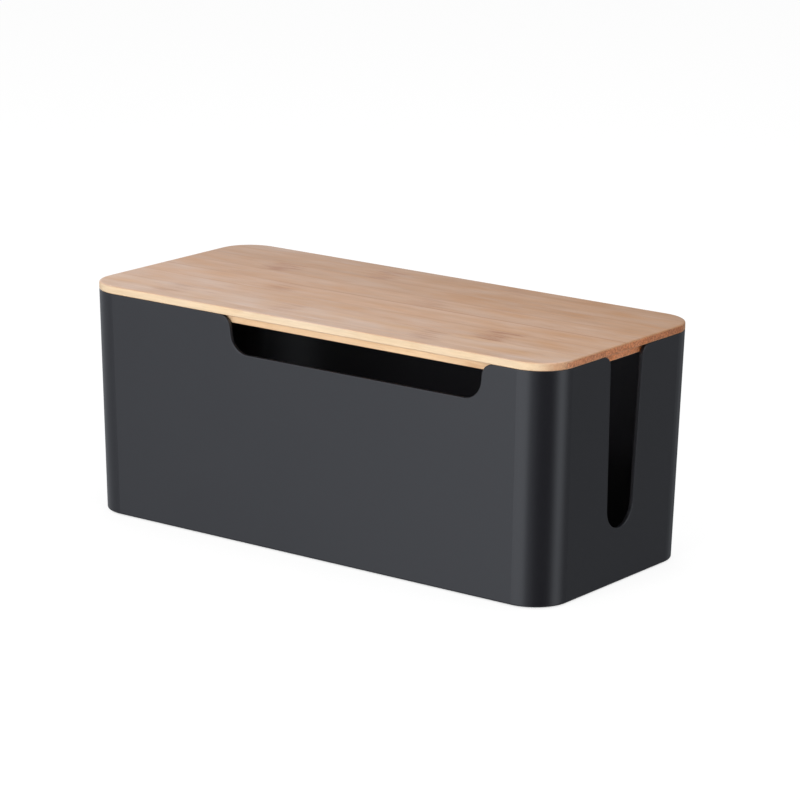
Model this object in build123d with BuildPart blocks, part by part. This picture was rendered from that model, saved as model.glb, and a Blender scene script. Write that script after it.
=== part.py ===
from build123d import *
from math import acos, atan2, degrees, hypot
import os

# Cable management box: a thin-walled moulded tub with a cable notch in its front
# wall and a slot in each end, four stick-on feet, and a lid that lifts straight
# off. The lid is glued up from bamboo strips in two plies: the face ply lies on
# the rim, and the smaller locating ply under it drops inside the walls.
#
# Millimetres, +Z up, +X along the box, the notched wall faces -Y. The origin is
# on the table under the middle of the box.

# ---- Tub ----
box_length = 310.0
box_depth = 140.0
overall_height = 130.0  # from the table to the top of the lid
corner_radius = 20.5  # the same from the rim down to the floor
draft_angle = 1.2  # every wall leans in by this much towards the floor
wall = 2.2
base_radius = 1.0  # round between the walls and the underside
floor_radius = 1.5  # and inside, between the walls and the floor
lip_radius = 0.5  # eases the rim and the openings, outside and inside

# ---- Openings in the walls ----
notch_width = 165.6  # at the rim, before its mouth is rounded
notch_depth = 20.0  # below the rim
notch_lean = 6.0  # of each side, so that the notch widens upwards
notch_offset = 30.6  # the notch's middle, to the right of the box's middle
notch_corner_radius = 11.0
notch_mouth_radius = 7.0

slot_mouth_width = 30.0
slot_end_radius = 11.9  # full round at the bottom
slot_bottom = 30.6  # above the table
slot_mouth_radius = 6.0

# ---- Feet ----
foot_diameter = 12.0
foot_thickness = 1.6
foot_recess = 1.0  # how deep a foot sits in the floor
foot_recess_gap = 0.25  # all round the foot
foot_edge_radius = 0.5
foot_inset = 24.0  # from the rim's outline to the foot's centre, both ways

# ---- Gate mark in the middle of the underside ----
gate_dish_diameter = 10.0
gate_dish_depth = 0.5
gate_stub_diameter = 2.4
gate_stub_height = 0.3

# ---- Lid ----
ply_thickness = 4.3  # face ply and locating ply alike
lid_fit_gap = 0.8  # between the locating ply and the wall, all round
lid_top_radius = 1.0
lid_edge_chamfer = 0.4  # takes the sharpness off both plies underneath
strip_width = 20.0
least_strip = 4.0  # a narrower remainder stays part of the strip before it
first_face_strip = 8.5  # the front strip is trimmed to this in the face ply
first_locating_strip = 14.9  # and to this in the locating ply, which staggers the seams

# ---- Places that follow from the sizes above ----
foot_stand = foot_thickness - foot_recess
floor_height = foot_stand + wall
rim_height = overall_height - ply_thickness
locating_inset = wall + lid_fit_gap
slot_end_height = slot_bottom + slot_end_radius
slot_reach = hypot(slot_mouth_width / 2, rim_height - slot_end_height)
slot_lean = degrees(
    acos(slot_end_radius / slot_reach) - atan2(rim_height - slot_end_height, slot_mouth_width / 2)
)  # of each straight side, so that it runs into the round end without a corner
foot_places = (box_length - 2 * foot_inset, box_depth - 2 * foot_inset, 2, 2)

os.makedirs("parts", exist_ok=True)


def save(piece, name):
    """Label a finished piece and write it to a file of the same name."""
    piece.part.label = name
    export_step(piece.part, f"parts/{name}.step")


# ---- Tub: block, draft, corners, shell, base rounds, openings, lips, foot recesses, gate mark ----
def rim_corners(part):
    """The short edges through the wall where an opening breaks out of the rim."""
    rim = part.faces().filter_by(Axis.Z).group_by(Axis.Z)[-1]
    return rim.edges().filter_by(lambda edge: edge.length < 2 * wall)


def lip_edges(part):
    """Every edge where a wall ends, at the rim or at an opening, on both sides of it."""
    upright = part.faces().filter_by(lambda face: abs(face.normal_at().Z) < 0.1)
    walls = upright.filter_by(lambda face: face.area > wall * rim_height)
    edges = [edge for face in walls for edge in face.edges()]
    ends = ShapeList(edge for edge in edges if edges.count(edge) == 1)
    return ends.filter_by(lambda edge: edge.center().Z > floor_height + floor_radius + lip_radius)


with BuildPart() as tub:
    with BuildSketch(Plane.XY.offset(foot_stand)):
        Rectangle(box_length, box_depth)
    extrude(amount=rim_height - foot_stand)
    draft(tub.faces().sort_by(Axis.Z)[1:-1], Plane.XY.offset(rim_height), -draft_angle)
    fillet(tub.edges().group_by(Axis.Z)[1], corner_radius)
    offset(amount=-wall, openings=tub.faces().sort_by(Axis.Z)[-1])
    fillet(tub.faces().sort_by(Axis.Z)[0].edges(), base_radius)
    fillet(tub.faces().filter_by(Axis.Z).group_by(Axis.Z)[1].edges(), floor_radius)

    with BuildSketch(Plane.XZ) as notch_outline:
        with Locations((notch_offset, rim_height)):
            Trapezoid(notch_width, notch_depth, 90 + notch_lean, align=(Align.CENTER, Align.MAX))
        fillet(notch_outline.vertices().group_by(Axis.Y)[0], notch_corner_radius)
    extrude(amount=box_depth, mode=Mode.SUBTRACT)

    with BuildSketch(Plane.YZ):
        with BuildLine():
            end = CenterArc((0, slot_end_height), slot_end_radius, 180 + slot_lean, 180 - 2 * slot_lean)
            mouth_edge = (slot_mouth_width / 2, rim_height)
            Polyline(end @ 1, mouth_edge, (-slot_mouth_width / 2, rim_height), end @ 0)
        make_face()
    extrude(amount=box_length, both=True, mode=Mode.SUBTRACT)

    fillet(rim_corners(tub.part).filter_by(Axis.Y), notch_mouth_radius)
    fillet(rim_corners(tub.part).filter_by(Axis.X), slot_mouth_radius)
    fillet(lip_edges(tub.part), lip_radius)

    with BuildSketch(Plane.XY.offset(foot_stand)):
        with GridLocations(*foot_places):
            Circle(foot_diameter / 2 + foot_recess_gap)
    extrude(amount=foot_recess, mode=Mode.SUBTRACT)

    with BuildSketch(Plane.XY.offset(foot_stand)):
        Circle(gate_dish_diameter / 2)
    extrude(amount=gate_dish_depth, mode=Mode.SUBTRACT)
    with BuildSketch(Plane.XY.offset(foot_stand + gate_dish_depth)):
        Circle(gate_stub_diameter / 2)
    extrude(amount=-gate_stub_height)
save(tub, "tub")

# ---- Feet: soft pads glued into the recesses ----
foot_names = ("foot_front_left", "foot_back_left", "foot_front_right", "foot_back_right")
for name, place in zip(foot_names, GridLocations(*foot_places)):
    with BuildPart() as foot:
        with BuildSketch():
            with Locations(place):
                Circle(foot_diameter / 2)
        extrude(amount=foot_thickness)
        fillet(foot.faces().sort_by(Axis.Z)[0].edges(), foot_edge_radius)
    save(foot, name)


# ---- Lid: two plies, each sawn along its seams into its strips ----
def seams(depth, first_strip):
    """Where the strips of a ply begin and end, from its front edge to its back edge."""
    lines = [-depth / 2, first_strip - depth / 2]
    while depth / 2 - lines[-1] > strip_width + least_strip:
        lines.append(lines[-1] + strip_width)
    return lines + [depth / 2]


def save_strips(ply, depth, first_strip, name):
    """Write each strip of a ply, numbered from the front."""
    lines = seams(depth, first_strip)
    for number, (front, back) in enumerate(zip(lines, lines[1:]), start=1):
        with BuildPart() as strip:
            add(ply.part)
            if front > lines[0]:
                split(bisect_by=Plane((0, front, 0), z_dir=(0, 1, 0)), keep=Keep.TOP)
            if back < lines[-1]:
                split(bisect_by=Plane((0, back, 0), z_dir=(0, 1, 0)), keep=Keep.BOTTOM)
        save(strip, f"{name}_{number}")


with BuildPart() as face_ply:
    with BuildSketch(Plane.XY.offset(rim_height)):
        RectangleRounded(box_length, box_depth, corner_radius)
    extrude(amount=ply_thickness)
    fillet(face_ply.faces().sort_by(Axis.Z)[-1].edges(), lid_top_radius)
    chamfer(face_ply.faces().sort_by(Axis.Z)[0].edges(), lid_edge_chamfer)
save_strips(face_ply, box_depth, first_face_strip, "lid_face_strip")

locating_length = box_length - 2 * locating_inset
locating_depth = box_depth - 2 * locating_inset
with BuildPart() as locating_ply:
    with BuildSketch(Plane.XY.offset(rim_height)):
        RectangleRounded(locating_length, locating_depth, corner_radius - locating_inset)
    extrude(amount=-ply_thickness)
    chamfer(locating_ply.faces().sort_by(Axis.Z)[0].edges(), lid_edge_chamfer)
save_strips(locating_ply, locating_depth, first_locating_strip, "lid_locating_strip")
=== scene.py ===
# %% [markdown]
# # A cable box with a bamboo lid
#
# A cable box hides a power strip and its plugs. This one is a long tub moulded in
# charcoal plastic, standing on four soft pads, with a flat bamboo lid that lifts
# straight off. The parts were drawn and measured in CAD first. Here they are loaded
# as they are, and what is added is what CAD leaves out: the surfaces, the light, the
# small moulded details and the camera.

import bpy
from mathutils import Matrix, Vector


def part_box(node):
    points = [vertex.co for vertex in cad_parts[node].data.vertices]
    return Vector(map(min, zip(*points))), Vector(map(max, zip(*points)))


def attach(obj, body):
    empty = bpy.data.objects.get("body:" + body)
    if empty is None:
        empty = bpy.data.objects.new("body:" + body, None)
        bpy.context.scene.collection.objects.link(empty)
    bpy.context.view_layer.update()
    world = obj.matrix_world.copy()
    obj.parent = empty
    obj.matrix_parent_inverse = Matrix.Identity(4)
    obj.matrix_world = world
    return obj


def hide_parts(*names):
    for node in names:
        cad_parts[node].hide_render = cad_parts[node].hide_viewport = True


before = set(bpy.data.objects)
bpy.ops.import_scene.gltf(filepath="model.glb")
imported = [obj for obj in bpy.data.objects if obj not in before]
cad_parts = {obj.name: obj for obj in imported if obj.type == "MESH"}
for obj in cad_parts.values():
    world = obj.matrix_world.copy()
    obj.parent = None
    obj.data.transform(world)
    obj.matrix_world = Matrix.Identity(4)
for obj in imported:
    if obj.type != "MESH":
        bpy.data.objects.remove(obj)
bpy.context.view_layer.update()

# %% Tools used in every cell
from math import cos, pi, radians, sin, tau
import bpy
from mathutils import Matrix, Vector

mm = 0.001
print("tools ready, lengths in metres")

# %% [markdown]
# ## The camera
#
# A box looks calm from far away through a long lens, because its upright edges stay
# nearly parallel there. The place of a camera can be given as a point or as a direction
# and a distance. A direction is used here, because that is what changes on a walk round
# the box: how far round, how high, how far off, and how level.

# %% Camera from direction, distance and roll
look_at = Vector((5.15, 6.58, 73.72)) * mm
camera_round = radians(36.548)  # 0 looks straight at the notched wall
camera_height = radians(14.295)
camera_roll = radians(0.759)
camera_distance = 1.92248
lens_length = 159.30  # for a sensor 36 mm wide

towards_camera = Vector((
    sin(camera_round) * cos(camera_height),
    -cos(camera_round) * cos(camera_height),
    sin(camera_height),
))
camera = bpy.data.objects.new("camera", bpy.data.cameras.new("camera"))
camera.data.lens = lens_length
camera.data.clip_end = 100  # past the floor's far edge
aim = (-towards_camera).to_track_quat("-Z", "Y").to_matrix().to_4x4()
stand = Matrix.Translation(look_at + towards_camera * camera_distance)
camera.matrix_world = stand @ aim @ Matrix.Rotation(camera_roll, 4, "Z")
bpy.context.scene.collection.objects.link(camera)
bpy.context.scene.camera = camera
bpy.context.scene.view_settings.view_transform = "Standard"
print("camera at", [round(value, 3) for value in camera.matrix_world.translation])

# %% [markdown]
# ## Wiring nodes by hand
#
# Shaders and Geometry Nodes are both boards of boxes and wires. They could be wired with
# a mouse, but then nobody can read what was done. Five small helpers keep the wiring
# short enough to read as code: one fills a socket, one adds a node, and three stand for
# the sums that come back again and again, which are arithmetic, a soft step, and one
# colour laid over another.

# %% Helpers for node boards
def fill(tree, socket, value):
    """Wire a socket to another one, or give it a plain value."""
    if isinstance(value, bpy.types.NodeSocket):
        tree.links.new(value, socket)
    else:
        socket.default_value = value


def add(tree, kind, inputs=None, **options):
    """Add a node, set its options, then fill the inputs that are named."""
    node = tree.nodes.new(kind)
    for option, choice in options.items():
        setattr(node, option, choice)
    for name, value in (inputs or {}).items():
        fill(tree, node.inputs[name], value)
    return node


def sums(tree, operation, first, second=0.0, third=0.0, clamp=False):
    """One sum on one, two or three numbers."""
    inputs = {0: first, 1: second, 2: third}
    node = add(tree, "ShaderNodeMath", inputs, operation=operation, use_clamp=clamp)
    return node.outputs[0]


def fade(tree, value, start, end):
    """0 up to start, 1 from end, with a soft step between them."""
    inputs = {"Value": value, "From Min": start, "From Max": end}
    node = add(tree, "ShaderNodeMapRange", inputs, interpolation_type="SMOOTHSTEP")
    return node.outputs["Result"]


def mix_colours(tree, amount, first, second, way="MIX"):
    """Lay one colour over another."""
    node = add(tree, "ShaderNodeMix", data_type="RGBA", blend_type=way, clamp_factor=True)
    fill(tree, node.inputs[0], amount)
    fill(tree, node.inputs[6], first)
    fill(tree, node.inputs[7], second)
    return node.outputs[2]

print("node helpers ready")

# %% [markdown]
# ## The room that the plastic mirrors
#
# Dark satin plastic has almost no colour of its own. What shows on it is the room: a
# wide soft box in front and to the left, a dark gap where the camera stands, and a
# narrow strip light off the right end. Real lamps could make these reflections, but
# they would light the pale lid too. The world shader can tell the rays apart, so the
# mirror image is painted there by direction, and the soft light on matt surfaces is
# set by itself. The camera sees plain white.

# %% Panels of the room
# Each panel: direction round the box, half its width, softness of its edge (degrees), brightness.
wall_panels = {
    "front soft box": (-80.0, 45.0, 12.0, 0.52),
    "its bright core": (-15.5, 21.5, 7.0, 1.90),
    "past the camera": (13.0, 16.0, 8.0, 0.46),
    "right strip light": (103.0, 13.3, 14.0, 1.85),
    "right fill": (152.0, 36.0, 6.0, 0.21),
    "back fill": (-175.0, 40.0, 20.0, 0.10),
}
lid_panels = {  # these hang above the horizon, where only the lid and the rims mirror them
    "back left soft box": (-124.0, 16.0, 14.0, 1.4),
}
print("panels round the box:", ", ".join([*wall_panels, *lid_panels]))

# %% [markdown]
# A world shader is asked for one direction at a time. The angle of that ray round the
# box picks the panels, and its height dims the wall panels downwards and brings in the
# ceiling. An image of a room could do the same, but a few panels are easier to move.

# %% Where a ray points, and the panels that it meets
world = bpy.data.worlds.new("studio")
world.use_nodes = True
bpy.context.scene.world = world
world.cycles.sampling_method = "NONE"  # each ray looks for itself, so matt and glossy stay apart
studio = world.node_tree
studio.nodes.clear()

direction = add(studio, "ShaderNodeTexCoord").outputs["Generated"]
ray = add(studio, "ShaderNodeSeparateXYZ", {0: direction})
ray_height = ray.outputs["Z"]
front_axis = sums(studio, "MULTIPLY", ray.outputs["Y"], -1.0)
ray_round = sums(studio, "ARCTAN2", ray.outputs["X"], front_axis)


def light_of(panels):
    """What a ray sees of some panels that stand round the box."""
    light = 0.0
    for middle, half_width, softness, brightness in panels.values():
        turn = sums(studio, "WRAP", sums(studio, "SUBTRACT", ray_round, radians(middle)), pi, -pi)
        off_middle = sums(studio, "ABSOLUTE", turn)
        core, rim = radians(half_width - softness), radians(half_width + softness)
        inside = sums(studio, "SUBTRACT", 1.0, fade(studio, off_middle, core, rim))
        light = sums(studio, "MULTIPLY_ADD", inside, brightness, light)
    return light

print("world board started:", len(studio.nodes), "nodes")

# %% What a mirrored ray sees
# Heights between which each part of the room comes in, from -1 straight down to 1 straight up.
walls_brighten = (-0.6, 0.0)
lid_panels_begin = (-0.02, 0.08)
ceiling_begins = (0.45, 0.85)

deep_brightness = 0.48  # of the wall panels far below the horizon
horizon_gain = 0.7  # and how much more they have on it
overhead_brightness = 0.6

to_horizon = fade(studio, ray_height, *walls_brighten)
dimming = sums(studio, "MULTIPLY_ADD", to_horizon, horizon_gain, deep_brightness)
mirror = sums(studio, "MULTIPLY", light_of(wall_panels), dimming)
above_horizon = fade(studio, ray_height, *lid_panels_begin)
mirror = sums(studio, "MULTIPLY_ADD", light_of(lid_panels), above_horizon, mirror)
upward = fade(studio, ray_height, *ceiling_begins)
ceiling_gain = sums(studio, "SUBTRACT", overhead_brightness, mirror)
mirror = sums(studio, "MULTIPLY_ADD", upward, ceiling_gain, mirror)
print("mirrored room:", len(studio.nodes), "nodes")

# %% World shader
soft_light = 0.54  # on matt surfaces, alike from everywhere
mirror_tint = (0.94, 0.99, 1.06, 1)
white = (1, 1, 1, 1)

path = add(studio, "ShaderNodeLightPath")
matt = add(studio, "ShaderNodeBackground", {"Color": white, "Strength": soft_light})
glossy = add(studio, "ShaderNodeBackground", {"Color": mirror_tint, "Strength": mirror})
backdrop = add(studio, "ShaderNodeBackground", {"Color": white, "Strength": 1.0})
light = add(studio, "ShaderNodeMixShader", {
    0: path.outputs["Is Glossy Ray"], 1: matt.outputs[0], 2: glossy.outputs[0],
})
from_camera, through_glass = path.outputs["Is Camera Ray"], path.outputs["Is Transmission Ray"]
is_seen = sums(studio, "ADD", from_camera, through_glass, clamp=True)
sky = add(studio, "ShaderNodeMixShader", {0: is_seen, 1: light.outputs[0], 2: backdrop.outputs[0]})
add(studio, "ShaderNodeOutputWorld", {"Surface": sky.outputs[0]})
print("world:", len(wall_panels) + len(lid_panels), "panels round the box")

# %% [markdown]
# ## Lamps
#
# Three lamps do the plain lighting. Small lamps would draw hard shadows, so all are
# square soft boxes. The key stands straight in front of the box, and low: it gives the
# front edge of the lid its bright cream, and from down there it reaches under the
# overhang, to the ply that shows in the notch. One overhead lights the top of the lid.
# The fill on the right is weak, so the end grain stays darker. All are hidden from
# glossy rays, because the world already holds what the plastic mirrors.

# %% Soft boxes
middle_of_box = Vector((0.0, 0.0, 0.065))


def soft_box(name, place, size, power):
    """A square area lamp that shines from its place at the middle of the box."""
    lamp = bpy.data.lights.new(name, "AREA")
    lamp.shape = "SQUARE"
    lamp.size = size
    lamp.energy = power
    holder = bpy.data.objects.new(name, lamp)
    place = Vector(place)
    turn = (place - middle_of_box).to_track_quat("Z", "Y").to_matrix().to_4x4()
    holder.matrix_world = Matrix.Translation(place) @ turn
    holder.visible_glossy = False
    holder.visible_camera = False
    bpy.context.scene.collection.objects.link(holder)


soft_box("key_soft_box", (0.0, -2.0, 0.58), size=0.9, power=31.0)
soft_box("overhead_soft_box", (0.0, 0.2, 1.8), size=1.2, power=10.0)
soft_box("right_fill", (1.6, -0.8, 0.9), size=1.0, power=5.0)

# %% [markdown]
# ## The floor
#
# The box stands on a plain white sweep. For the light that it throws back it is
# ordinary white paint. A floor that is only lit would come out grey next to a pure
# white background, though, so the camera sees mostly a glow, with a little of the
# paint's own light in it, and that little keeps the faint wide shadow. The glow goes
# out where something stands within a millimetre, under the tub and along its foot,
# which paints a dark contact shadow there, so that the box doesn't seem to float.

# %% Floor mesh
floor_half = 30.0
floor_drop = 0.05 * mm  # keeps the floor just under the pads
signs = ((-1, -1), (1, -1), (1, 1), (-1, 1))
floor_mesh = bpy.data.meshes.new("floor")
floor_corners = [(x * floor_half, y * floor_half, -floor_drop) for x, y in signs]
floor_mesh.from_pydata(floor_corners, [], [(0, 1, 2, 3)])
floor = bpy.data.objects.new("floor", floor_mesh)
bpy.context.scene.collection.objects.link(floor)
floor.visible_glossy = False
print("floor:", 2 * floor_half, "m wide")

# %% Floor material
white_paint = (0.8, 0.8, 0.8, 1)
paint_in_view = (0.2, 0.2, 0.2, 1)  # the share of the lit paint that the camera sees
glow_in_view = 0.85
contact_shadow_reach = 0.8 * mm
glow_begins = (0.4, 0.7)  # how open the floor is where the glow comes up

sweep = bpy.data.materials.new("white_sweep")
sweep.use_nodes = True
board = sweep.node_tree
board.nodes.clear()
paint = add(board, "ShaderNodeBsdfDiffuse", {"Color": white_paint})
faint_paint = add(board, "ShaderNodeBsdfDiffuse", {"Color": paint_in_view})
# painted contact shadow: the glow fades where the occlusion finds something within reach
crevice = add(board, "ShaderNodeAmbientOcclusion", {"Distance": contact_shadow_reach}, samples=8)
openness = fade(board, crevice.outputs["AO"], *glow_begins)
glow_strength = sums(board, "MULTIPLY", openness, glow_in_view)
glow = add(board, "ShaderNodeEmission", {"Color": white, "Strength": glow_strength})
in_view = add(board, "ShaderNodeAddShader", {0: faint_paint.outputs[0], 1: glow.outputs[0]})
ray_kind = add(board, "ShaderNodeLightPath")
looks = add(board, "ShaderNodeMixShader", {
    0: ray_kind.outputs["Is Camera Ray"], 1: paint.outputs[0], 2: in_view.outputs[0],
})
add(board, "ShaderNodeOutputMaterial", {"Surface": looks.outputs[0]})
floor_mesh.materials.append(sweep)
print("floor painted:", len(board.nodes), "nodes")

# %% [markdown]
# ## Charcoal plastic
#
# The tub comes out of a steel mould whose faces were sparked to a fine, even grain, so
# the plastic is satin: it mirrors the room softly. The grain is far too fine to model,
# and a bump from noise at its real size of about a fifth of a millimetre gives the
# right gleam up close. A second, wide noise varies the gloss a little, as real
# mouldings do where the plastic cooled at different speeds.
#
# The core of such a mould, which shapes the inside, is only stoned smooth, and the
# plastic drags along it as it leaves, so the inside of the walls comes out duller. The
# inside is also painted a little greyer: that is painted light, which lifts the shade
# inside the tub. Two materials would need the measured mesh cut in two. One material can
# tell the sides of a wall apart by itself: inside, it faces back towards the origin. The
# origin lies on the table, so by this rule the underside counts as inside as well, and
# the inner floor as outside.

# %% Helpers for materials
def new_material(name):
    """A material with an empty board that ends in a Principled shader."""
    material = bpy.data.materials.new(name)
    material.use_nodes = True
    tree = material.node_tree
    tree.nodes.clear()
    shader = add(tree, "ShaderNodeBsdfPrincipled")
    add(tree, "ShaderNodeOutputMaterial", {"Surface": shader.outputs[0]})
    return material, tree, shader


def noise(tree, place, scale, detail=2.0, roughness=0.5):
    """Soft random values from 0 to 1; scale counts features in a metre."""
    inputs = {"Vector": place, "Scale": scale, "Detail": detail, "Roughness": roughness}
    return add(tree, "ShaderNodeTexNoise", inputs).outputs[0]


def finish(tree, shader, colour, roughness, height, bump_strength, bump_depth):
    """Wire colour, roughness and a bump into the shader."""
    bump = add(tree, "ShaderNodeBump", {
        "Strength": bump_strength, "Distance": bump_depth, "Height": height,
    })
    fill(tree, shader.inputs["Base Color"], colour)
    fill(tree, shader.inputs["Roughness"], roughness)
    fill(tree, shader.inputs["Normal"], bump.outputs[0])


def clothe(node_name, material):
    """Give a CAD node its finish in place of the plain colour it came with."""
    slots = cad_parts[node_name].data.materials
    slots.clear()
    slots.append(material)

print("material helpers ready")

# %% Plastic material
charcoal = (0.0096, 0.0097, 0.0122, 1)
charcoal_slow = (0.0110, 0.0111, 0.0136, 1)  # where it cooled slowly
# painted light: lighter than the outside, to lift the shade inside the tub
charcoal_inside_painted_light = (0.0175, 0.0170, 0.0200, 1)
satin = 0.25  # roughness outside
inside_dullness = 0.25  # added to it inside
cooling_scale = 18.0  # features in a metre, of this and of the two grains
grain_scale = 4200.0
fine_grain_scale = 9000.0


def charcoal_plastic():
    """Near black, satin outside and duller inside, painted lighter inside as painted light, with the fine
    grain of a sparked mould.
    """
    material, tree, shader = new_material("charcoal_plastic")
    coords = add(tree, "ShaderNodeTexCoord")
    place = coords.outputs["Object"]
    cooling = noise(tree, place, cooling_scale, detail=1.0)
    grain = noise(tree, place, grain_scale, detail=2.0, roughness=0.6)
    fine_grain = noise(tree, place, fine_grain_scale, detail=1.0)
    height = sums(tree, "MULTIPLY_ADD", fine_grain, 0.4, grain)

    sockets = {0: place, 1: coords.outputs["Normal"]}
    outward = add(tree, "ShaderNodeVectorMath", sockets, operation="DOT_PRODUCT").outputs["Value"]
    inside = sums(tree, "LESS_THAN", outward, 0.0)

    dull = sums(tree, "MULTIPLY_ADD", cooling, 0.05, satin)
    dull = sums(tree, "MULTIPLY_ADD", grain, 0.06, dull)
    dull = sums(tree, "MULTIPLY_ADD", inside, inside_dullness, dull)
    colour = mix_colours(tree, cooling, charcoal, charcoal_slow)
    # painted light on the inside faces
    colour = mix_colours(tree, inside, colour, charcoal_inside_painted_light)
    finish(tree, shader, colour, dull, height, bump_strength=0.12, bump_depth=0.02 * mm)
    return material


plastic = charcoal_plastic()
clothe("tub", plastic)
print("plastic on the tub:", len(plastic.node_tree.nodes), "nodes")

# %% [markdown]
# ## Bamboo, strip by strip
#
# A bamboo board is made of split, planed strips that are glued edge to edge. Each
# strip came from another stalk, so each has its own tone, its own fibres and its own
# nodes, the darker bands where the stalk was closed inside. One material for the whole
# lid would run its pattern across the seams, so every strip gets its own, made by one
# function that knows where the strip begins and ends.
#
# Everything in a stalk runs along it, so every pattern is noise stretched along X: the
# fibres have a thousand features in a metre across the strip and sixty along it. Seven
# such patterns are enough, from the fibres up to clouds as wide as a finger.

# %% Patterns in the wood
# Each pattern: features in a metre along the strip and across it, detail, roughness, and
# how far the noise is shifted from one strip to the next.
patterns = {
    "fibres": (60.0, 1000.0, 3.0, 0.65, 7.3),
    "streaks": (11.0, 280.0, 2.0, 0.5, 3.1),
    "clouds": (14.0, 80.0, 1.0, 0.5, 5.7),
    "blush": (34.0, 110.0, 2.0, 0.5, 6.1),
    "flecks": (48.0, 360.0, 3.0, 0.6, 2.9),
    "dashes": (38.0, 600.0, 3.0, 0.6, 1.7),
    "dots": (40.0, 1000.0, 2.0, 0.7, 4.1),
}


def wood_pattern(tree, place, name, seed):
    """One of the patterns, for the strip with this number."""
    along, across, detail, roughness, step = patterns[name]
    shift = seed * step
    stretched = add(tree, "ShaderNodeMapping", {
        "Vector": place,
        "Location": (shift, shift * 0.37, shift * 0.11),
        "Scale": (along, across, across),
    })
    return noise(tree, stretched.outputs[0], 1.0, detail, roughness)

print("patterns:", ", ".join(patterns))

# %% [markdown]
# The wood's own colour lies between a golden and a rosy tone. It could be one colour
# ramp on one noise, but the hue and the brightness of real strips change apart from each
# other. So warm and pale patches are multiplied into it first, and then the light and
# dark of the fibres. The patches are weaker on the sawn sides, where the cut shows only
# the edge of each of them.

# %% Colour of the wood
golden = (0.468, 0.242, 0.115, 1)
rosy = (0.562, 0.388, 0.281, 1)
warmer = (0.940, 0.760, 0.470, 1)  # multiplies the colour in its warm patches
paler = (1.060, 1.240, 1.530, 1)  # and in its pale ones

least_rosy = 0.235  # a strip with rose 0 still has this much of the rosy tone
rosy_range = 0.6  # and a strip with rose 1 has this much more
cloud_warmth = 0.5  # how far the clouds move the blush towards warm or pale
patches_lost = 0.7  # on a sawn side
lift = 0.03  # makes up for what the flecks and nodes take from the tone
swings = {"fibres": 0.34, "streaks": 0.22, "clouds": 0.06}  # how much each lightens and darkens


def grey(tree, value):
    """A colour that is alike in red, green and blue, to multiply with."""
    return add(tree, "ShaderNodeCombineXYZ", {"X": value, "Y": value, "Z": value}).outputs[0]


def wood_colour(tree, wood, side_way, tone, rose):
    """The strip's colour before anything is laid over it."""
    colour = mix_colours(tree, least_rosy + rosy_range * rose, golden, rosy)
    warmth = sums(tree, "MULTIPLY_ADD", wood["clouds"], cloud_warmth, -cloud_warmth / 2)
    warmth = sums(tree, "ADD", warmth, wood["blush"])
    patches = mix_colours(tree, warmth, warmer, paler)
    amount = sums(tree, "MULTIPLY_ADD", side_way, -patches_lost, 1.0)
    colour = mix_colours(tree, amount, colour, patches, "MULTIPLY")
    light = tone + lift
    for name, strength in swings.items():
        swing = sums(tree, "SUBTRACT", wood[name], 0.5)
        light = sums(tree, "MULTIPLY_ADD", swing, strength, light)
    return mix_colours(tree, 1.0, colour, grey(tree, light), "MULTIPLY")

print("bamboo between", golden[:3], "and", rosy[:3])

# %% [markdown]
# A node isn't a painted stripe. The fibres cross over there, each a little earlier or
# later than the next, so it shows as a ragged cluster of short brown dashes. A clean
# band is therefore moved to and fro by one pattern and broken up by another.
#
# A glue line is a thin brown seam that a planed joint nearly closes, so it comes and
# goes along the board. It hardly shows on the end grain, which is brown by itself.

# %% Nodes and glue lines
node_length = 15.0 * mm  # from the middle of a node to where it has faded out
node_wander = 36.0 * mm  # how far its dashes are spread along the strip
dashes_begin = (0.44, 0.56)  # values of the pattern between which a dash comes up
between_dashes = 0.25  # how much of a node there still is between its dashes
glue_width = 1.0 * mm
glue_begins = (0.38, 0.52)  # values of the clouds between which the seam comes up
closed_seam = 0.4  # how much of it there still is where the joint is closed
glue_lost = 0.8  # on the end grain


def node_amount(tree, wood, along, middle, strength):
    """How brown the wood is by a node whose middle is this far along the box."""
    wander = sums(tree, "MULTIPLY_ADD", wood["flecks"], node_wander, -node_wander / 2)
    off_middle = sums(tree, "SUBTRACT", sums(tree, "SUBTRACT", along, wander), middle)
    outside = fade(tree, sums(tree, "ABSOLUTE", off_middle), 0.0, node_length)
    band = sums(tree, "SUBTRACT", 1.0, outside)
    dash = fade(tree, wood["dashes"], *dashes_begin)
    dashed = sums(tree, "MULTIPLY_ADD", dash, 1.0 - between_dashes, between_dashes)
    return sums(tree, "MULTIPLY", sums(tree, "MULTIPLY", band, dashed), strength)


def glue_amount(tree, wood, end_way, off_edge, strength):
    """How brown the wood is by the glue, at this distance from the strip's edge."""
    near = sums(tree, "SUBTRACT", 1.0, fade(tree, off_edge, 0.0, glue_width))
    open_seam = fade(tree, wood["clouds"], *glue_begins)
    broken = sums(tree, "MULTIPLY_ADD", open_seam, 1.0 - closed_seam, closed_seam)
    line = sums(tree, "MULTIPLY", near, broken)
    line = sums(tree, "MULTIPLY", line, sums(tree, "MULTIPLY_ADD", end_way, -glue_lost, 1.0))
    return sums(tree, "MULTIPLY", line, strength)

print("nodes spread over", round(node_wander / mm), "mm, glue lines", round(glue_width / mm, 1), "mm wide")

# %% [markdown]
# The saw shows the wood from other sides. On the long sides it runs along the fibres
# and leaves them closed and pale. On the ends it cuts them across: they stand open and
# show as fine dots, and the wood looks browner, because light sinks into it. On the
# rounded corners the cut turns from one into the other. Each of these looks multiplies
# the colour where the surface faces far enough that way.

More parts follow.
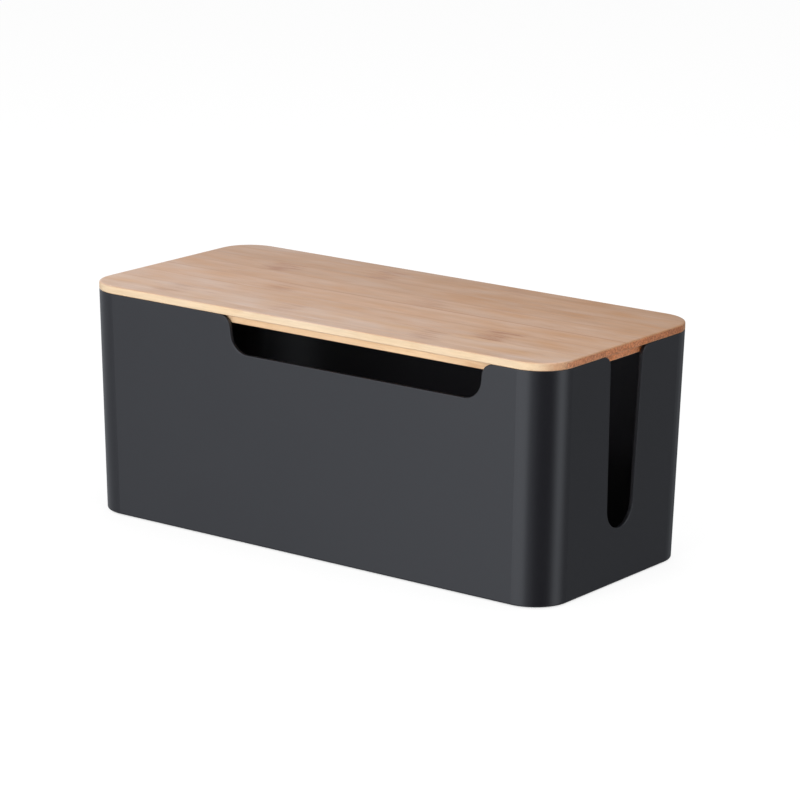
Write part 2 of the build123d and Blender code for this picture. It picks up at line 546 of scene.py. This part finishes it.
# %% Sawn faces
edge_cream = (1.100, 1.290, 1.270, 1)
slant_gold = (0.860, 0.725, 0.585, 1)  # where a rounded corner cuts the fibres at a slant
end_brown = (0.940, 0.700, 0.590, 1)  # and, on top of that, where they are cut square
dot_shade = 0.68  # brightness in the dots
dot_contrast = 0.58  # and how much brighter it is between them
dot_edges = (0.34, 0.64)  # values of the pattern from a dot to the wood between them

# How far a surface faces that way where each look begins, and where it is complete.
side_begins = (0.45, 0.95)
slant_begins = (0.45, 0.97)
square_begins = (0.95, 0.998)
dots_begin = (0.87, 0.995)


def sawn_colour(tree, wood, colour, side_way, end_way, end_tone):
    """The colour as the sawn sides, corners and ends show it."""
    dots = fade(tree, wood["dots"], *dot_edges)
    dots = sums(tree, "MULTIPLY_ADD", dots, dot_contrast * end_tone, dot_shade * end_tone)
    for facing, begins, shade in (
        (side_way, side_begins, edge_cream),
        (end_way, slant_begins, slant_gold),
        (end_way, square_begins, end_brown),
        (end_way, dots_begin, grey(tree, dots)),
    ):
        shaded = mix_colours(tree, 1.0, colour, shade, "MULTIPLY")
        colour = mix_colours(tree, fade(tree, facing, *begins), colour, shaded)
    return colour

print("sawn sides:", edge_cream[:3], "ends:", end_brown[:3])

# %% [markdown]
# Now one strip can be finished: its colour, its flecks, its nodes, its two glue lines
# and its sawn faces, in the order in which they hide one another. The oil fills the
# planed faces and leaves a soft gleam. The sawn ones soak it up and stay matt.

# %% One strip
brown = (0.345, 0.140, 0.058, 1)  # of flecks, nodes and glue
flecks_begin = (0.56, 0.72)  # values of the pattern between which a fleck comes up
most_fleck = 0.22
oiled = 0.34  # roughness of the planed faces
sawn_dullness = 0.26  # added to it where the strip was sawn
sawn_begins = (0.3, 0.9)  # how far a surface faces sideways or endways


def bamboo_strip(node_name, seed, tone, rose, end_tone, nodes, front_line, back_line):
    """One strip's finish. nodes: their places along the box in mm, with their strength."""
    material, tree, shader = new_material("bamboo_" + node_name)
    lowest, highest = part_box(node_name)
    coords = add(tree, "ShaderNodeTexCoord")
    place = coords.outputs["Object"]
    at = add(tree, "ShaderNodeSeparateXYZ", {0: place})
    facing = add(tree, "ShaderNodeSeparateXYZ", {0: coords.outputs["Normal"]})
    side_way = sums(tree, "ABSOLUTE", facing.outputs["Y"])
    end_way = sums(tree, "ABSOLUTE", facing.outputs["X"])
    wood = {name: wood_pattern(tree, place, name, seed) for name in patterns}

    colour = wood_colour(tree, wood, side_way, tone, rose)
    fleck = sums(tree, "MULTIPLY", fade(tree, wood["flecks"], *flecks_begin), most_fleck)
    colour = mix_colours(tree, fleck, colour, brown)
    for middle, strength in nodes:
        amount = node_amount(tree, wood, at.outputs["X"], middle * mm, strength)
        colour = mix_colours(tree, amount, colour, brown)
    for edge, inward, strength in ((lowest.y, 1.0, front_line), (highest.y, -1.0, back_line)):
        if strength:
            off_edge = sums(tree, "MULTIPLY", sums(tree, "SUBTRACT", at.outputs["Y"], edge), inward)
            amount = glue_amount(tree, wood, end_way, off_edge, strength)
            colour = mix_colours(tree, amount, colour, brown)
    colour = sawn_colour(tree, wood, colour, side_way, end_way, end_tone)

    sawn = fade(tree, sums(tree, "ADD", side_way, end_way), *sawn_begins)
    dull = sums(tree, "MULTIPLY_ADD", wood["fibres"], 0.12, oiled)
    dull = sums(tree, "MULTIPLY_ADD", sawn, sawn_dullness, dull)
    relief = sums(tree, "MULTIPLY_ADD", fleck, -2.0, wood["fibres"])
    finish(tree, shader, colour, dull, relief, bump_strength=0.25, bump_depth=0.06 * mm)
    clothe(node_name, material)

print("a strip is finished by bamboo_strip")

# %% [markdown]
# The strips that show are given one by one: a pale, rosy one near the front, darker and
# more golden ones towards the back. The strips underneath take whatever comes, so
# their values follow a short rule.
# The strips underneath are also painted lighter than those above, and their ends lighter still: painted
# light, which makes up for the shade that the face ply and the slot walls cast on them.

# %% Finish each strip
# For each strip of the face ply, from the front: the tone of its face and of its ends, how
# rosy it is, its nodes, and how strong the two glue lines are.
face_strips = [
    (1.02, 1.02, 0.85, [], 0.0, 0.12),
    (1.055, 1.055, 0.95, [(-106, 0.45), (-29, 0.35), (66, 0.50)], 0.12, 0.15),
    (1.045, 1.045, 0.45, [(94, 0.85)], 0.15, 0.35),
    (1.06, 1.11, 0.30, [(-62, 0.40)], 0.35, 0.65),
    (1.02, 1.14, 0.20, [(22, 0.30)], 0.65, 0.30),
    (0.975, 1.07, 0.15, [(-94, 0.75)], 0.30, 0.35),
    (0.94, 0.94, 0.20, [(-36, 0.60)], 0.35, 0.25),
    (0.90, 0.90, 0.25, [(40, 0.35)], 0.25, 0.0),
]
for number, (tone, end_tone, rose, nodes, front_line, back_line) in enumerate(face_strips, start=1):
    bamboo_strip(f"lid_face_strip_{number}", number, tone, rose, end_tone, nodes, front_line, back_line)

print("bamboo strips above:", len(face_strips))

# %% Finish the strips underneath
seed_step = 20  # keeps their patterns apart from those of the strips above
locating_strips = sorted(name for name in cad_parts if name.startswith("lid_locating_strip"))
for number, name in enumerate(locating_strips, start=1):
    # painted light: 1.12 lightens these strips, and end_tone 1.2 their ends, against the shade under the
    # face ply and in the slot
    tone = 1.12 + 0.06 * cos(2.3 * (number - 1))
    nodes = [(95 * sin(1.9 * number) + 20, 0.4)]
    bamboo_strip(
        name, seed_step + number, tone, rose=0.5, end_tone=1.2,
        nodes=nodes, front_line=0.25, back_line=0.25,
    )
print("bamboo strips below:", len(locating_strips))

# %% [markdown]
# ## Rubber
#
# The pads are a soft silicone, dull and slightly dusty. A plain dark grey would look
# like the plastic, so the roughness is high, a bloom of paler grey lies on it, and the
# bump is deeper than the plastic's.

# %% Rubber material
clean_rubber = (0.022, 0.022, 0.024, 1)
dusty_rubber = (0.045, 0.045, 0.047, 1)
bloom_scale = 350.0  # features in a metre, of this and of the skin
skin_scale = 5000.0


def soft_rubber():
    """Dark grey and dull, with a faint bloom."""
    material, tree, shader = new_material("soft_rubber")
    place = add(tree, "ShaderNodeTexCoord").outputs["Object"]
    bloom = noise(tree, place, bloom_scale, detail=3.0, roughness=0.6)
    skin = noise(tree, place, skin_scale, detail=2.0)
    colour = mix_colours(tree, bloom, clean_rubber, dusty_rubber)
    dull = sums(tree, "MULTIPLY_ADD", bloom, 0.15, 0.62)
    finish(tree, shader, colour, dull, skin, bump_strength=0.3, bump_depth=0.03 * mm)
    return material


rubber = soft_rubber()
print("rubber:", len(rubber.node_tree.nodes), "nodes")

# %% [markdown]
# ## Small things that repeat
#
# The four pads are alike, and so are the marks of the ejector pins inside the tub. Each
# kind could be modelled once and copied by a loop. Geometry Nodes are used instead: a
# tree holds the recipe for one, the grid that it is repeated on, and a named input for
# every size, so a size is changed in one place. The result is made a plain mesh at the
# end, because an export drops instances.

# %% Helpers for Geometry Nodes
def new_tree(name, sizes):
    """A tree with a named input for each size."""
    tree = bpy.data.node_groups.new(name, "GeometryNodeTree")
    tree.interface.new_socket("Geometry", in_out="OUTPUT", socket_type="NodeSocketGeometry")
    for label, value in sizes.items():
        kind = "NodeSocketInt" if isinstance(value, int) else "NodeSocketFloat"
        tree.interface.new_socket(label, in_out="INPUT", socket_type=kind)
    return tree, tree.nodes.new("NodeGroupInput").outputs


def set_out(tree, piece, places, material):
    """Put a copy on every point, make the copies real faces, smooth and with their material."""
    copies = add(tree, "GeometryNodeInstanceOnPoints", {"Points": places, "Instance": piece})
    real = add(tree, "GeometryNodeRealizeInstances", {0: copies.outputs[0]})
    smooth = add(tree, "GeometryNodeSetShadeSmooth", {"Geometry": real.outputs[0]})
    dressed = add(tree, "GeometryNodeSetMaterial", {"Geometry": smooth.outputs[0], "Material": material})
    add(tree, "NodeGroupOutput", {"Geometry": dressed.outputs[0]})


def grow(name, tree, sizes):
    """Run a tree with these sizes and keep what it makes as a plain mesh."""
    piece = bpy.data.objects.new(name, bpy.data.meshes.new(name + "_start"))
    bpy.context.scene.collection.objects.link(piece)
    modifier = piece.modifiers.new(name, "NODES")
    modifier.node_group = tree
    for item in tree.interface.items_tree:
        if item.in_out == "INPUT":
            modifier[item.identifier] = sizes[item.name]
    grown = piece.evaluated_get(bpy.context.evaluated_depsgraph_get())
    mesh = bpy.data.meshes.new_from_object(grown)
    piece.modifiers.clear()
    piece.data = mesh
    mesh.name = name
    return piece

print("tree helpers ready")

# %% [markdown]
# ## The pads
#
# A silicone pad comes out of its mould with both edges rounded and with a few shallow
# rings pressed into its underside, which help it grip. A bevel could round it, but the
# rings need many points across the face anyway. So it starts as a cylinder with many
# rings of points, and sums move them. Its size and its places are measured on the CAD
# feet that it stands for.

# %% Sizes of the pads, and the blank
foot_names = [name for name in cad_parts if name.startswith("foot_")]
foot_boxes = [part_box(name) for name in foot_names]
foot_middles = [(low + high) / 2 for low, high in foot_boxes]
low, high = foot_boxes[0]
pad_sizes = {
    "Pad diameter": high.x - low.x,
    "Pad height": high.z - low.z,
    "Edge radius": 0.45 * mm,
    "Groove spacing": 1.5 * mm,
    "Groove depth": 0.25 * mm,
    "Length spacing": max(p.x for p in foot_middles) - min(p.x for p in foot_middles),
    "Depth spacing": max(p.y for p in foot_middles) - min(p.y for p in foot_middles),
}

tree, given = new_tree("moulded_pads", pad_sizes)
pad_radius = sums(tree, "MULTIPLY", given["Pad diameter"], 0.5)
half_height = sums(tree, "MULTIPLY", given["Pad height"], 0.5)
blank = add(tree, "GeometryNodeMeshCylinder", {
    "Vertices": 48, "Side Segments": 10, "Fill Segments": 30,
    "Radius": pad_radius, "Depth": given["Pad height"],
}, fill_type="TRIANGLE_FAN")
print("pad:", {label: round(value / mm, 2) for label, value in pad_sizes.items()})

# %% [markdown]
# The rounding squeezes the square corner of the blank's outline onto a circle: the
# distance of a point from the round's middle, measured as the larger of its two sides,
# becomes the distance as the crow flies. No point leaves the pad's own size, so it
# stands exactly where the measured pad stands.

# %% Round both edges
tiny = 1e-9  # keeps the pad's middle from dividing by nothing

spot = add(tree, "ShaderNodeSeparateXYZ", {0: add(tree, "GeometryNodeInputPosition").outputs[0]})
flat = add(tree, "ShaderNodeCombineXYZ", {"X": spot.outputs["X"], "Y": spot.outputs["Y"], "Z": 0.0})
off_axis = add(tree, "ShaderNodeVectorMath", {0: flat.outputs[0]}, operation="LENGTH").outputs["Value"]
off_middle = sums(tree, "ABSOLUTE", spot.outputs["Z"])
face_radius = sums(tree, "SUBTRACT", pad_radius, given["Edge radius"])
side_height = sums(tree, "SUBTRACT", half_height, given["Edge radius"])

out_by = sums(tree, "MAXIMUM", sums(tree, "SUBTRACT", off_axis, face_radius), 0.0)
down_by = sums(tree, "MAXIMUM", sums(tree, "SUBTRACT", off_middle, side_height), 0.0)
down_squared = sums(tree, "MULTIPLY", down_by, down_by)
straight = sums(tree, "SQRT", sums(tree, "MULTIPLY_ADD", out_by, out_by, down_squared))
larger = sums(tree, "MAXIMUM", out_by, down_by)
squeeze = sums(tree, "DIVIDE", larger, sums(tree, "ADD", straight, tiny))
new_radius = sums(tree, "MULTIPLY_ADD", out_by, squeeze, sums(tree, "MINIMUM", off_axis, face_radius))
new_height = sums(tree, "MULTIPLY_ADD", down_by, squeeze, sums(tree, "MINIMUM", off_middle, side_height))
new_height = sums(tree, "MULTIPLY", new_height, sums(tree, "SIGN", spot.outputs["Z"]))
print("both edges rounded by", round(pad_sizes["Edge radius"] / mm, 2), "mm")

# %% Press the grooves into the underside
turns = sums(tree, "MULTIPLY", sums(tree, "DIVIDE", off_axis, given["Groove spacing"]), tau)
wave = sums(tree, "MULTIPLY_ADD", sums(tree, "COSINE", turns), -0.5, 0.5)
on_underside = sums(tree, "LESS_THAN", spot.outputs["Z"], 0.0)
on_face = sums(tree, "LESS_THAN", off_axis, face_radius)
pressed = fade(tree, wave, 0.5, 0.95)  # flat between the grooves, with soft shoulders
groove = sums(tree, "MULTIPLY", sums(tree, "MULTIPLY", pressed, on_underside), on_face)
new_height = sums(tree, "MULTIPLY_ADD", groove, given["Groove depth"], new_height)

shrink = sums(tree, "DIVIDE", new_radius, sums(tree, "ADD", off_axis, tiny))
new_spot = add(tree, "ShaderNodeCombineXYZ", {
    "X": sums(tree, "MULTIPLY", spot.outputs["X"], shrink),
    "Y": sums(tree, "MULTIPLY", spot.outputs["Y"], shrink),
    "Z": sums(tree, "ADD", new_height, half_height),
})
pad = add(tree, "GeometryNodeSetPosition", {"Geometry": blank.outputs[0], "Position": new_spot.outputs[0]})
print("grooves every", round(pad_sizes["Groove spacing"] / mm, 2), "mm")

# %% Set out the four pads
places = add(tree, "GeometryNodeMeshGrid", {
    "Size X": given["Length spacing"], "Size Y": given["Depth spacing"], "Vertices X": 2, "Vertices Y": 2,
})
set_out(tree, pad.outputs[0], places.outputs[0], rubber)

moulded_pads = grow("moulded_pads", tree, pad_sizes)
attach(moulded_pads, "tub")
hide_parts(*foot_names)
print("pads:", len(moulded_pads.data.polygons), "faces")

# %% [markdown]
# ## Where the ejector pins pushed
#
# A deep tub shrinks onto the core of its mould, and steel pins push it off. Each pin
# leaves a thin raised ring on the inner floor, where a little plastic crept round it.
# A bump could draw the rings, but they would vanish when seen from low down, so each
# is a flattened tube. They only show when the lid is off. The height of the floor isn't
# written down here: a ray is dropped onto it from inside the tub.

# %% Rings on the inner floor
inside_tub = Vector((0.0, 0.0, 60.0)) * mm
straight_down = Vector((0, 0, -1))
bpy.context.view_layer.update()
floor_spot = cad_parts["tub"].ray_cast(inside_tub, straight_down)[1]
ring_sizes = {
    "Columns": 5,
    "Rows": 2,
    "Length spacing": 232.0 * mm,
    "Depth spacing": 72.0 * mm,
    "Ring diameter": 8.0 * mm,
    "Ridge width": 0.36 * mm,
    "Ridge height": 0.10 * mm,
    "Floor height": floor_spot.z,
}

tree, given = new_tree("ejector_rings", ring_sizes)
ring_radius = sums(tree, "MULTIPLY", given["Ring diameter"], 0.5)
ridge_radius = sums(tree, "MULTIPLY", given["Ridge width"], 0.5)
circle = add(tree, "GeometryNodeCurvePrimitiveCircle", {"Resolution": 48, "Radius": ring_radius})
ridge = add(tree, "GeometryNodeCurvePrimitiveCircle", {"Resolution": 10, "Radius": ridge_radius})
ring = add(tree, "GeometryNodeCurveToMesh", {"Curve": circle.outputs[0], "Profile Curve": ridge.outputs[0]})
flatness = sums(tree, "DIVIDE", given["Ridge height"], ridge_radius)
flatten = add(tree, "ShaderNodeCombineXYZ", {"X": 1.0, "Y": 1.0, "Z": flatness})
ring = add(tree, "GeometryNodeTransform", {"Geometry": ring.outputs[0], "Scale": flatten.outputs[0]})
print("inner floor at", round(floor_spot.z / mm, 3), "mm")

# %% Set out the rings
places = add(tree, "GeometryNodeMeshGrid", {
    "Size X": given["Length spacing"], "Size Y": given["Depth spacing"],
    "Vertices X": given["Columns"], "Vertices Y": given["Rows"],
})
floor_level = add(tree, "ShaderNodeCombineXYZ", {"X": 0.0, "Y": 0.0, "Z": given["Floor height"]})
places = add(tree, "GeometryNodeTransform", {
    "Geometry": places.outputs[0], "Translation": floor_level.outputs[0],
})
set_out(tree, ring.outputs[0], places.outputs[0], plastic)

ejector_rings = grow("ejector_rings", tree, ring_sizes)
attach(ejector_rings, "tub")
print("ejector rings:", len(ejector_rings.data.polygons), "faces")
